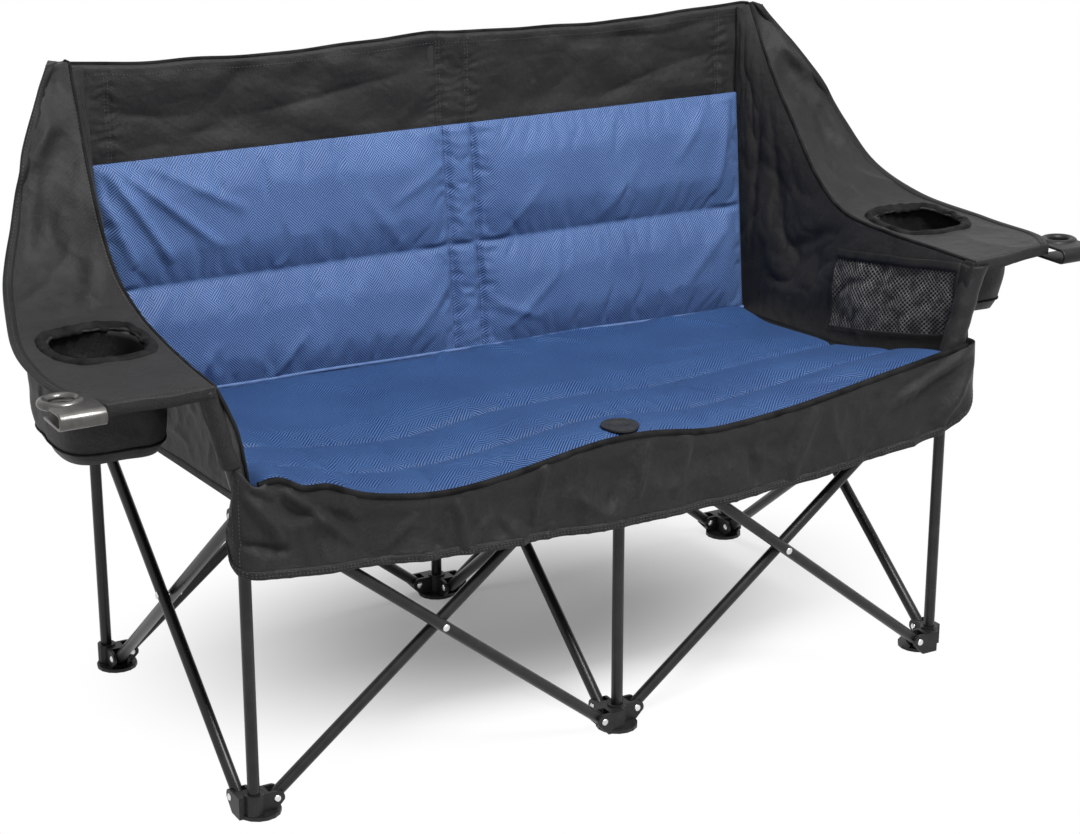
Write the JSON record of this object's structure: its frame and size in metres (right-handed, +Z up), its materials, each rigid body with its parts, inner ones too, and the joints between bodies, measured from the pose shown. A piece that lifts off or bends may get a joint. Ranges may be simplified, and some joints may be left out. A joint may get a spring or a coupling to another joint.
{
  "type": "folding camping loveseat",
  "caption": "Wide folding outdoor seat on scissor-strut tube legs, with a quilted seat and back, sling arms, cup pouches, net pockets and glass clips.",
  "frame": {"origin": "on the ground under the middle of the open chair", "axes": "+X to the right of someone looking at the front, +Y to the rear, +Z up; the front faces -Y"},
  "size_m": [1.552, 0.611, 0.878],
  "materials": {
    "tube_coat": "satin black powder coat on steel tube",
    "moulded_plastic": "black moulded plastic",
    "rivet_steel": "bright rivet",
    "black_cloth": "black coated woven cloth",
    "blue_quilt": "blue woven cloth, quilted over thin filling",
    "pocket_net": "black open net",
    "clip_grey": "satin grey",
    "clip_black": "satin black"
  },
  "bodies": {
    "front_middle_foot": {"front_middle_foot": "moulded_plastic"},
    "front_left_outer_strut": {"front_left_outer_strut": "tube_coat", "front_left_rivet": "rivet_steel"},
    "front_left_inner_strut": {"front_left_inner_strut": "tube_coat"},
    "front_right_outer_strut": {"front_right_outer_strut": "tube_coat"},
    "front_right_inner_strut": {"front_right_inner_strut": "tube_coat", "front_right_rivet": "rivet_steel"},
    "left_side_outer_strut": {"left_side_outer_strut": "tube_coat", "left_side_rivet": "rivet_steel"},
    "left_side_inner_strut": {"left_side_inner_strut": "tube_coat"},
    "right_side_outer_strut": {"right_side_outer_strut": "tube_coat", "right_side_rivet": "rivet_steel"},
    "right_side_inner_strut": {"right_side_inner_strut": "tube_coat"},
    "middle_left_strut": {"middle_left_strut": "tube_coat", "middle_rivet": "rivet_steel"},
    "middle_right_strut": {"middle_right_strut": "tube_coat"},
    "rear_left_outer_strut": {"rear_left_outer_strut": "tube_coat", "rear_left_rivet": "rivet_steel"},
    "rear_left_inner_strut": {"rear_left_inner_strut": "tube_coat"},
    "rear_right_outer_strut": {"rear_right_outer_strut": "tube_coat"},
    "rear_right_inner_strut": {"rear_right_inner_strut": "tube_coat", "rear_right_rivet": "rivet_steel"},
    "front_left_foot": {"front_left_foot": "moulded_plastic"},
    "front_left_post": {"front_left_post": "tube_coat", "front_left_bracket": "moulded_plastic", "left_side_panel": "black_cloth", "left_arm_wing": "black_cloth", "left_cup_pouch": "black_cloth", "left_mesh_pocket": "pocket_net", "left_glass_clip": "clip_grey"},
    "front_middle_post": {"front_middle_post": "tube_coat", "front_middle_bracket": "moulded_plastic", "seat_button": "moulded_plastic", "seat_edge": "blue_quilt", "front_skirt": "black_cloth"},
    "front_right_foot": {"front_right_foot": "moulded_plastic"},
    "front_right_post": {"front_right_post": "tube_coat", "front_right_bracket": "moulded_plastic", "right_side_panel": "black_cloth", "right_arm_wing": "black_cloth", "right_cup_pouch": "black_cloth", "right_mesh_pocket": "pocket_net", "right_glass_clip": "clip_black"},
    "back_left_foot": {"back_left_foot": "moulded_plastic"},
    "back_left_post": {"back_left_post": "tube_coat", "back_left_bracket": "moulded_plastic"},
    "back_middle_foot": {"back_middle_foot": "moulded_plastic"},
    "back_middle_post": {"back_middle_post": "tube_coat", "back_middle_bracket": "moulded_plastic", "back_pad": "blue_quilt", "back_band": "black_cloth", "back_sleeve": "black_cloth"},
    "back_right_foot": {"back_right_foot": "moulded_plastic"},
    "back_right_post": {"back_right_post": "tube_coat", "back_right_bracket": "moulded_plastic"},
    "seat_front": {"seat_front": "blue_quilt"},
    "seat_rear": {"seat_rear": "blue_quilt"}
  },
  "joints": [
    {"name": "fold", "type": "hinge", "parent": "front_middle_foot", "child": "front_left_outer_strut", "pos_m": [-0.031, -0.272, 0.02], "axis": [0, 1, 0], "range_deg": [0, 48.6], "deforming": ["left_side_panel", "left_arm_wing", "left_cup_pouch", "left_mesh_pocket", "seat_edge", "front_skirt", "right_side_panel", "right_arm_wing", "right_cup_pouch", "right_mesh_pocket", "back_pad", "back_band", "seat_front", "seat_rear"]},
    {"name": "front_left_crossing", "type": "hinge", "parent": "front_left_outer_strut", "child": "front_left_inner_strut", "pos_m": [-0.27, -0.2635, 0.21], "axis": [0, 1, 0], "range_deg": [-97.2, 0]},
    {"name": "front_left_foot_pivot", "type": "hinge", "parent": "front_left_inner_strut", "child": "front_left_foot", "pos_m": [-0.509, -0.255, 0.02], "axis": [0, 1, 0], "range_deg": [0, 48.6]},
    {"name": "front_left_bracket_pivot", "type": "hinge", "parent": "front_left_outer_strut", "child": "front_left_post", "pos_m": [-0.509, -0.272, 0.4], "axis": [0, 1, 0], "range_deg": [-48.6, 0]},
    {"name": "front_right_swing", "type": "hinge", "parent": "front_middle_foot", "child": "front_right_inner_strut", "pos_m": [0.031, -0.255, 0.02], "axis": [0, -1, 0], "range_deg": [0, 48.6]},
    {"name": "front_right_crossing", "type": "hinge", "parent": "front_right_inner_strut", "child": "front_right_outer_strut", "pos_m": [0.27, -0.2635, 0.21], "axis": [0, -1, 0], "range_deg": [-97.2, 0]},
    {"name": "front_right_foot_pivot", "type": "hinge", "parent": "front_right_outer_strut", "child": "front_right_foot", "pos_m": [0.509, -0.272, 0.02], "axis": [0, -1, 0], "range_deg": [0, 48.6]},
    {"name": "front_right_bracket_pivot", "type": "hinge", "parent": "front_right_inner_strut", "child": "front_right_post", "pos_m": [0.509, -0.255, 0.4], "axis": [0, -1, 0], "range_deg": [-48.6, 0]},
    {"name": "middle_swing", "type": "hinge", "parent": "front_middle_foot", "child": "middle_left_strut", "pos_m": [-0.0085, -0.2325, 0.02], "axis": [1, 0, 0], "range_deg": [0, 48.6]},
    {"name": "middle_crossing", "type": "hinge", "parent": "middle_left_strut", "child": "middle_right_strut", "pos_m": [0, 0.0065, 0.21], "axis": [1, 0, 0], "range_deg": [-97.2, 0]},
    {"name": "back_middle_foot_pivot", "type": "hinge", "parent": "middle_right_strut", "child": "back_middle_foot", "pos_m": [0.0085, 0.2455, 0.02], "axis": [1, 0, 0], "range_deg": [0, 48.6]},
    {"name": "back_middle_bracket_pivot", "type": "hinge", "parent": "middle_left_strut", "child": "back_middle_post", "pos_m": [-0.0085, 0.2455, 0.4], "axis": [1, 0, 0], "range_deg": [-48.6, 0]},
    {"name": "front_middle_bracket_pivot", "type": "hinge", "parent": "middle_right_strut", "child": "front_middle_post", "pos_m": [0.0085, -0.2325, 0.4], "axis": [1, 0, 0], "range_deg": [0, 48.6]},
    {"name": "left_side_swing", "type": "hinge", "parent": "front_left_foot", "child": "left_side_outer_strut", "pos_m": [-0.5485, -0.2325, 0.02], "axis": [1, 0, 0], "range_deg": [0, 48.6]},
    {"name": "left_side_crossing", "type": "hinge", "parent": "left_side_outer_strut", "child": "left_side_inner_strut", "pos_m": [-0.54, 0.0065, 0.21], "axis": [1, 0, 0], "range_deg": [-97.2, 0]},
    {"name": "back_left_foot_pivot", "type": "hinge", "parent": "left_side_inner_strut", "child": "back_left_foot", "pos_m": [-0.5315, 0.2455, 0.02], "axis": [1, 0, 0], "range_deg": [0, 48.6]},
    {"name": "back_left_bracket_pivot", "type": "hinge", "parent": "left_side_outer_strut", "child": "back_left_post", "pos_m": [-0.5485, 0.2455, 0.4], "axis": [1, 0, 0], "range_deg": [-48.6, 0]},
    {"name": "right_side_swing", "type": "hinge", "parent": "front_right_foot", "child": "right_side_outer_strut", "pos_m": [0.5485, -0.2325, 0.02], "axis": [1, 0, 0], "range_deg": [0, 48.6]},
    {"name": "right_side_crossing", "type": "hinge", "parent": "right_side_outer_strut", "child": "right_side_inner_strut", "pos_m": [0.54, 0.0065, 0.21], "axis": [1, 0, 0], "range_deg": [-97.2, 0]},
    {"name": "back_right_foot_pivot", "type": "hinge", "parent": "right_side_inner_strut", "child": "back_right_foot", "pos_m": [0.5315, 0.2455, 0.02], "axis": [1, 0, 0], "range_deg": [0, 48.6]},
    {"name": "back_right_bracket_pivot", "type": "hinge", "parent": "right_side_outer_strut", "child": "back_right_post", "pos_m": [0.5485, 0.2455, 0.4], "axis": [1, 0, 0], "range_deg": [-48.6, 0]},
    {"name": "rear_left_swing", "type": "hinge", "parent": "back_middle_foot", "child": "rear_left_outer_strut", "pos_m": [-0.031, 0.285, 0.02], "axis": [0, 1, 0], "range_deg": [0, 48.6]},
    {"name": "rear_left_crossing", "type": "hinge", "parent": "rear_left_outer_strut", "child": "rear_left_inner_strut", "pos_m": [-0.27, 0.2765, 0.21], "axis": [0, 1, 0], "range_deg": [-97.2, 0]},
    {"name": "rear_right_swing", "type": "hinge", "parent": "back_middle_foot", "child": "rear_right_inner_strut", "pos_m": [0.031, 0.268, 0.02], "axis": [0, -1, 0], "range_deg": [0, 48.6]},
    {"name": "rear_right_crossing", "type": "hinge", "parent": "rear_right_inner_strut", "child": "rear_right_outer_strut", "pos_m": [0.27, 0.2765, 0.21], "axis": [0, -1, 0], "range_deg": [-97.2, 0]},
    {"name": "seat_front_lift", "type": "hinge", "parent": "front_middle_post", "child": "seat_front", "pos_m": [0, -0.2455, 0.412], "axis": [1, 0, 0], "range_deg": [0, 96]},
    {"name": "seat_rear_drop", "type": "hinge", "parent": "back_middle_post", "child": "seat_rear", "pos_m": [0, 0.2232, 0.406], "axis": [1, 0, 0], "range_deg": [0, 91]}
  ],
  "couplings": [
    {"joint": "front_left_crossing", "follows": "fold", "ratio": -2},
    {"joint": "front_left_foot_pivot", "follows": "fold", "ratio": 1},
    {"joint": "front_left_bracket_pivot", "follows": "fold", "ratio": -1},
    {"joint": "front_right_swing", "follows": "fold", "ratio": 1},
    {"joint": "front_right_crossing", "follows": "fold", "ratio": -2},
    {"joint": "front_right_foot_pivot", "follows": "fold", "ratio": 1},
    {"joint": "front_right_bracket_pivot", "follows": "fold", "ratio": -1},
    {"joint": "middle_swing", "follows": "fold", "ratio": 1},
    {"joint": "middle_crossing", "follows": "fold", "ratio": -2},
    {"joint": "back_middle_foot_pivot", "follows": "fold", "ratio": 1},
    {"joint": "back_middle_bracket_pivot", "follows": "fold", "ratio": -1},
    {"joint": "front_middle_bracket_pivot", "follows": "fold", "ratio": 1},
    {"joint": "left_side_swing", "follows": "fold", "ratio": 1},
    {"joint": "left_side_crossing", "follows": "fold", "ratio": -2},
    {"joint": "back_left_foot_pivot", "follows": "fold", "ratio": 1},
    {"joint": "back_left_bracket_pivot", "follows": "fold", "ratio": -1},
    {"joint": "right_side_swing", "follows": "fold", "ratio": 1},
    {"joint": "right_side_crossing", "follows": "fold", "ratio": -2},
    {"joint": "back_right_foot_pivot", "follows": "fold", "ratio": 1},
    {"joint": "back_right_bracket_pivot", "follows": "fold", "ratio": -1},
    {"joint": "rear_left_swing", "follows": "fold", "ratio": 1},
    {"joint": "rear_left_crossing", "follows": "fold", "ratio": -2},
    {"joint": "rear_right_swing", "follows": "fold", "ratio": 1},
    {"joint": "rear_right_crossing", "follows": "fold", "ratio": -2},
    {"joint": "seat_front_lift", "follows": "fold", "ratio": 1.9753},
    {"joint": "seat_rear_drop", "follows": "fold", "ratio": 1.8724}
  ]
}
